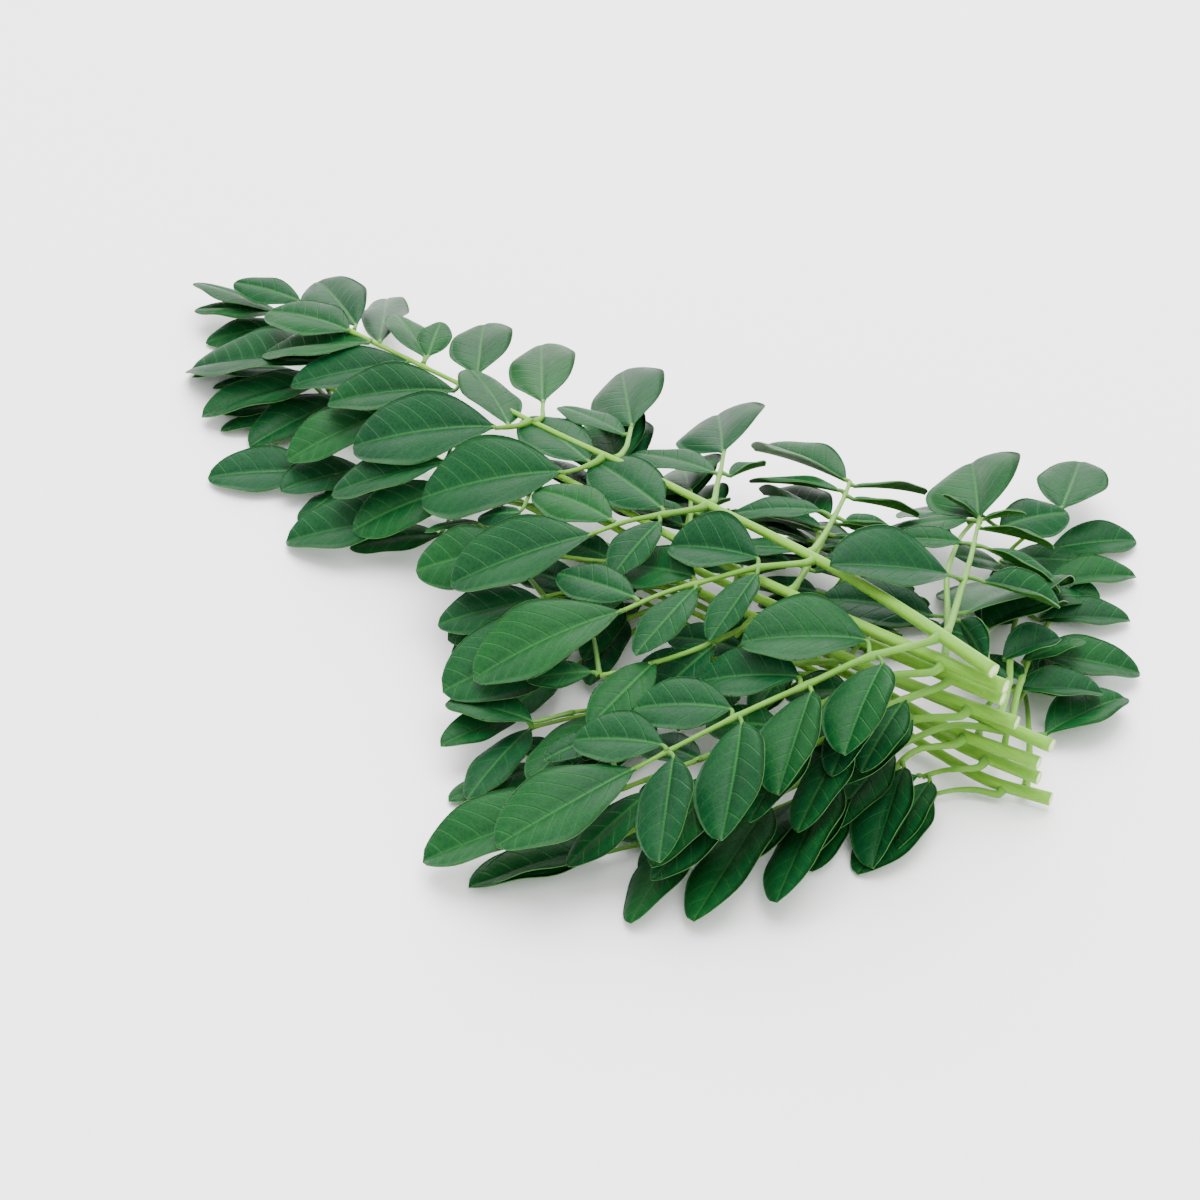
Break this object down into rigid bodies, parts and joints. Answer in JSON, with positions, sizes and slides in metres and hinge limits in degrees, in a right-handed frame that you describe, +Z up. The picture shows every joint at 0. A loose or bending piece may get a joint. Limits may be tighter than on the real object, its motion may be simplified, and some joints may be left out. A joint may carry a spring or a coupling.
{
  "type": "moringa leaf bunch",
  "caption": "Bunch of cut compound herb fronds stacked flat: tapering green stems with opposite pinnae of oval leaflets.",
  "frame": {"origin": "bottom centre of the bounding box, on the surface the bunch lies on", "axes": "+X along the stems towards their cut ends, +Z up"},
  "size_m": [0.228, 0.163, 0.0353],
  "materials": {
    "stem": "fresh green stem with leaflets, waxy",
    "pinna": "waxy deep green leaflets on a pale green stalk"
  },
  "bodies": {
    "root": {"frond1_left_pinna_1": "pinna", "frond1_left_pinna_2": "pinna", "frond1_left_pinna_3": "pinna", "frond1_left_pinna_4": "pinna", "frond1_right_pinna_1": "pinna", "frond1_right_pinna_2": "pinna", "frond1_right_pinna_3": "pinna", "frond1_right_pinna_4": "pinna", "frond1_stem": "stem", "frond2_left_pinna_1": "pinna", "frond2_left_pinna_2": "pinna", "frond2_left_pinna_3": "pinna", "frond2_right_pinna_1": "pinna", "frond2_right_pinna_2": "pinna", "frond2_right_pinna_3": "pinna", "frond2_stem": "stem", "frond3_left_pinna_1": "pinna", "frond3_left_pinna_2": "pinna", "frond3_left_pinna_3": "pinna", "frond3_left_pinna_4": "pinna", "frond3_right_pinna_1": "pinna", "frond3_right_pinna_2": "pinna", "frond3_right_pinna_3": "pinna", "frond3_stem": "stem", "frond4_left_pinna_1": "pinna", "frond4_left_pinna_2": "pinna", "frond4_left_pinna_3": "pinna", "frond4_left_pinna_4": "pinna", "frond4_right_pinna_1": "pinna", "frond4_right_pinna_2": "pinna", "frond4_right_pinna_3": "pinna", "frond4_stem": "stem", "frond5_left_pinna_1": "pinna", "frond5_left_pinna_2": "pinna", "frond5_left_pinna_3": "pinna", "frond5_right_pinna_1": "pinna", "frond5_right_pinna_2": "pinna", "frond5_right_pinna_3": "pinna", "frond5_stem": "stem", "frond6_left_pinna_1": "pinna", "frond6_left_pinna_2": "pinna", "frond6_left_pinna_3": "pinna", "frond6_right_pinna_1": "pinna", "frond6_right_pinna_2": "pinna", "frond6_stem": "stem", "frond7_left_pinna_1": "pinna", "frond7_left_pinna_3": "pinna", "frond7_right_pinna_1": "pinna", "frond7_right_pinna_2": "pinna", "frond7_stem": "stem", "frond8_left_pinna_1": "pinna", "frond8_left_pinna_3": "pinna", "frond8_right_pinna_1": "pinna", "frond8_right_pinna_2": "pinna", "frond8_stem": "stem"}
  },
  "joints": []
}
